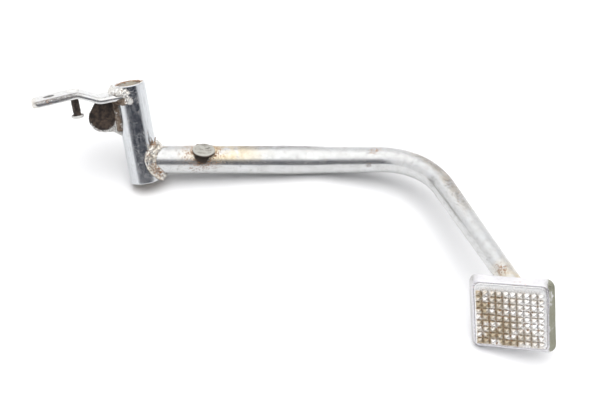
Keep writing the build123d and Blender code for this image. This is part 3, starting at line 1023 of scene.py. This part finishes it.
def make_pad_shell():
    """Pressed tray with a soft front edge, a flared skirt and a rolled rear lip, shallower along its top."""
    steps = [
        (0.0, 3.2, -1.5), (0.0, 3.2, -0.75), (0.12, 3.3, -0.5), (0.40, 3.4, -0.36), (0.75, 3.5, -0.42),
        (1.10, 3.6, -0.75), (1.50, 3.8, -1.35), (1.90, 4.0, -2.05), (2.30, 4.2, -2.8), (2.75, 4.5, -3.5),
        (3.15, 4.8, -4.0), (3.42, 5.0, -4.25), (3.50, 5.1, -4.5), (3.40, 5.0, -4.75), (3.05, 4.8, -4.85),
        (2.70, 4.6, -4.65), (2.2, 4.3, -4.2), (1.6, 4.0, -3.4), (1.0, 3.6, -2.85), (0.3, 3.2, -2.62),
        (-0.8, 2.8, SHELL_BACK), (-6.0, 2.0, SHELL_BACK), (-12.0, 1.5, SHELL_BACK),
    ]
    loops = [rounded_loop(*step) for step in steps]
    shell = add_capped("pad_shell_pressed", loops)
    orient(shell)
    points = np.concatenate(loops)
    skirt = fade(points[:, 2], -0.2, -1.4)
    push = skirt * (0.14 * lumps(points, 11.0, 91) + 0.04 * lumps(points, 4.0, 92))
    points = push_out(shell, points, push)
    half_length = TREAD_LENGTH / 2
    half_width = TREAD_WIDTH / 2
    side_x = np.abs(points[:, 0]) - half_length
    side_y = np.abs(points[:, 1]) - half_width
    mid_side = np.clip(1 - (points[:, 0] / half_length) ** 2, 0, 1)
    dip = SHELL_DIP * mid_side * fade(points[:, 1], half_width - 0.5, half_width + 1)
    points[:, 2] = np.where(points[:, 2] < -1, -1 + (points[:, 2] + 1) * (1 - dip), points[:, 2])
    set_positions(shell, points)
    arm_end = pad_frame.inverted() @ Vector(arm_spot(ARM_LENGTH - 6, 0.0))
    seam = fade(np.maximum(side_x, side_y), 0.42, 0.15) * fade(points[:, 2], -1.7, -1.4)
    right_wall = fade(points[:, 0], half_length, half_length + 1.2) * skirt
    left_wall = fade(points[:, 0], -half_length, -half_length - 1.2) * skirt
    top_wall = fade(points[:, 1], half_width, half_width + 1.2) * skirt
    corner = near(points, (half_length + 1.5, half_width + 1.5, -1.5), 5.0)
    rust = 0.02 + 0.5 * near(points, arm_end, 9.0) + 0.25 * seam
    pit = 0.02 + 0.08 * lumps(points, 5.0, 93) + 0.3 * corner + 0.15 * seam
    stain = 0.03 + 0.3 * corner + 2.4 * right_wall * (1.0 + 0.2 * lumps(points, 6.0, 94))
    stain = stain + 0.3 * left_wall + 0.12 * top_wall
    dull = np.maximum(top_wall, 0.8 * left_wall) * (0.5 + 0.3 * lumps(points, 5.0, 97))
    complete(shell, pad_frame, chrome_pad, "pad_shell", 45, pit=pit, rust=rust, stain=stain, dull=dull)


def add_stud_field():
    """Field of square pyramids with tips blunted as by wear, with its own sides and base."""
    columns = STUD_COLUMNS * STUD_CELLS + 1
    rows = STUD_ROWS * STUD_CELLS + 1
    u, v = np.meshgrid(np.linspace(0, STUD_COLUMNS, columns), np.linspace(0, STUD_ROWS, rows))
    reach = sum((np.abs((w % 1.0) - 0.5) * 2) ** 7 for w in (u, v)) ** (1 / 7)
    profile = np.clip((STUD_FOOT - reach) / STUD_SLOPE, 0, 1)
    height = 0.03 + STUD_HEIGHT * np.where(profile > 0.9, 0.9 + (profile - 0.9) * 0.5, profile) / 0.95
    x = (u - STUD_COLUMNS / 2) * STUD_PITCH_ALONG + STUD_SHIFT_ALONG
    y = (v - STUD_ROWS / 2) * STUD_PITCH_ACROSS + STUD_SHIFT_ACROSS
    points, faces = skin(np.stack((x, y, height), axis=2), closed_loops=False)
    grid = np.arange(rows * columns).reshape(rows, columns)
    rim = np.concatenate((grid[0], grid[1:, -1], grid[-1, -2::-1], grid[-2:0:-1, 0]))
    base = len(points) + np.arange(len(rim))
    faces += zip(np.roll(rim, -1).tolist(), rim.tolist(), base.tolist(), np.roll(base, -1).tolist())
    faces.append(tuple(base.tolist()))
    below = points[rim] * (1, 1, 0) - (0, 0, FIELD_DEPTH)
    return add_piece("field", np.concatenate((points, below)), faces)


def make_tread():
    """Rounded plate with a field of studs."""
    steps = [
        (-0.02, 3.2, -1.4), (-0.02, 3.2, -0.5), (-0.12, 3.15, -0.22), (-0.35, 3.0, -0.05), (-0.7, 2.8, 0.0),
        (-1.6, 2.4, 0.0), (-6.0, 1.6, -0.02),
    ]
    plate = add_capped("plate", [rounded_loop(*step) for step in steps])
    tread = merge("tread_plate_worn", [plate, add_stud_field()])
    orient(tread)
    points = positions(tread)
    push_out(tread, points, 0.03 * lumps(points, 1.8, 95) + 0.03 * lumps(points, 6.0, 96))
    # Stain and rust grow towards the field's low-x, low-y corner, so that side is darker.
    darker_side = fade(points[:, 0] + points[:, 1] * 0.5, 12, -14)
    along = np.abs(points[:, 0] - STUD_SHIFT_ALONG)
    across = np.abs(points[:, 1] - STUD_SHIFT_ACROSS)
    in_field = fade(along, FIELD_HALF_LENGTH, FIELD_HALF_LENGTH - FIELD_FADE)
    in_field = in_field * fade(across, FIELD_HALF_WIDTH, FIELD_HALF_WIDTH - FIELD_FADE)
    valley = fade(points[:, 2], 0.55, 0.05) * in_field
    # Along the field's top row this paints shade under the rim's edge, together with dirt there.
    pit = 0.04 + 0.30 * valley + 0.2 * fade(points[:, 1], 13.2, 14.6) * in_field
    rust = 0.04 + 0.24 * valley + 0.1 * darker_side * in_field
    stain = 0.05 + in_field * (0.35 + 0.65 * darker_side) + 0.3 * valley
    dull = 0.15 * (1 - in_field)
    complete(tread, pad_frame, tread_metal, "tread_plate", 30, pit=pit, rust=rust, stain=stain, dull=dull)


def make_pad_weld():
    """Bead round the arm's oblique end on the shell's back."""
    angles = turns(72)
    around = ring(angles)
    size = 2.1 * (1 + 0.25 * lumps(around, 0.5, 101))
    meeting = seat_lengths(angles, SHELL_BACK)
    root = arm_surface(meeting, angles)
    arm_toe = arm_surface(meeting - size * 1.3, angles)
    wide = arm_surface(meeting, angles, size.mean())
    drop = (wide - np.array(PAD_CENTRE)) @ pad_normal - SHELL_BACK
    shell_toe = wide - drop[:, None] * pad_normal
    bead = add_bead(shell_toe, arm_toe, root, 0.45 + 0.25 * lumps(around, 0.25, 102), closed=True)
    layers = ((0.15, 1.5, 103), (0.07, 0.7, 104))
    bead, points, _ = melt("pad_weld_bead", [bead], 0.28, layers, smoothing=2)
    pit = 0.25 + 0.2 * lumps(points, 1.5, 105)
    rust = 0.35 + 0.2 * lumps(points, 2.5, 106)
    complete(bead, IN_PLACE, chrome_weld, "pad_weld", pit=pit, rust=rust, stain=0.7)


# ---------------- studio
FLOOR_SIDE = 12.0
STUDIO_BRIGHTNESS = 4.0
DARK_ROOM_AZIMUTH = 9.0
middle = (cad_low + cad_high) / 2


def make_floor():
    """Seamless pale floor that the pedal lies on."""
    half = FLOOR_SIDE / 2
    corners = [(x, y, cad_low.z) for x, y in ((-half, -half), (half, -half), (half, half), (-half, half))]
    floor = add_piece("studio_floor", corners, [(0, 1, 2, 3)])
    material = bpy.data.materials.new("studio_floor")
    tree = Shading(material)
    tree.fill("Principled BSDF", Base_Color=(0.92, 0.92, 0.93), Roughness=0.9, Specular_IOR_Level=0.1)
    floor.data.materials.append(material)


def make_surroundings():
    """Studio with a dark front for glossy metal to see, and an overhead light for the rest."""
    world = bpy.data.worlds.new("studio")
    bpy.context.scene.world = world
    tree = Shading(world)
    direction = tree.add("TexCoord", "Generated")
    x, y, z = [tree.add("SeparateXYZ", axis, {0: direction}) for axis in "XYZ"]
    rear = tree.ramp(z, [
        (0.0, (0.26, 0.26, 0.265)), (0.50, (0.27, 0.27, 0.275)), (0.72, (0.34, 0.34, 0.345)),
        (0.88, (0.42, 0.42, 0.42)),
    ])
    front = tree.ramp(z, [
        (0.0, (0.15, 0.15, 0.16)), (0.09, (0.055, 0.055, 0.06)), (0.20, (0.011, 0.012, 0.016)),
        (0.36, (0.011, 0.012, 0.017)), (0.52, (0.042, 0.042, 0.048)), (0.68, (0.13, 0.13, 0.14)),
        (0.77, (0.33, 0.33, 0.33)), (0.86, (0.42, 0.42, 0.42)),
    ])
    lamp = tree.ramp(z, [(0.0, (0.06, 0.06, 0.06)), (0.76, (0.09, 0.09, 0.09)), (0.90, (0.95, 0.95, 0.95))])
    flat = tree.math("SQRT", x * x + y * y, 0.0)
    room_turn = math.radians(DARK_ROOM_AZIMUTH)
    facing = tree.math("DIVIDE", x * math.sin(room_turn) + y * -math.cos(room_turn), flat)
    room = tree.mix(facing.spread(0.45, 0.74), rear, front)
    colour = tree.mix(tree.add("LightPath", "Is Glossy Ray"), lamp, room)
    colour = tree.mix(tree.add("LightPath", "Is Camera Ray"), colour, (0.25, 0.25, 0.25))
    tree.fill("Background", Color=colour, Strength=STUDIO_BRIGHTNESS)


CAMERA_LENS = 75.0
CAMERA_SENSOR = 36.0
CAMERA_DISTANCE = 0.75
CAMERA_ELEVATION = 47.6
AIM_FROM_MIDDLE = Vector((0.0111, 0.0351, -0.0318))


def make_camera():
    """Long lens from the front, looking down at the pedal on the floor."""
    data = bpy.data.cameras.new("camera")
    data.lens = CAMERA_LENS
    data.sensor_width = CAMERA_SENSOR
    data.clip_start = 0.01
    camera = bpy.data.objects.new("camera", data)
    bpy.context.scene.collection.objects.link(camera)
    aim = middle + AIM_FROM_MIDDLE
    slope = math.radians(CAMERA_ELEVATION)
    camera.location = aim + CAMERA_DISTANCE * Vector((0.0, -math.cos(slope), math.sin(slope)))
    camera.rotation_euler = (math.pi / 2 - slope, 0.0, 0.0)
    bpy.context.scene.camera = camera


make_arm()
make_pivot_tube()
make_arm_weld()
make_lever()
make_inboard_weld()
make_outboard_weld()
make_spring_post()
make_stop_lug()
make_lug_welds()
make_stop_button()
make_button_weld()
make_pad_shell()
make_tread()
make_pad_weld()
make_floor()
make_surroundings()
make_camera()
bpy.context.scene.view_settings.view_transform = "Standard"
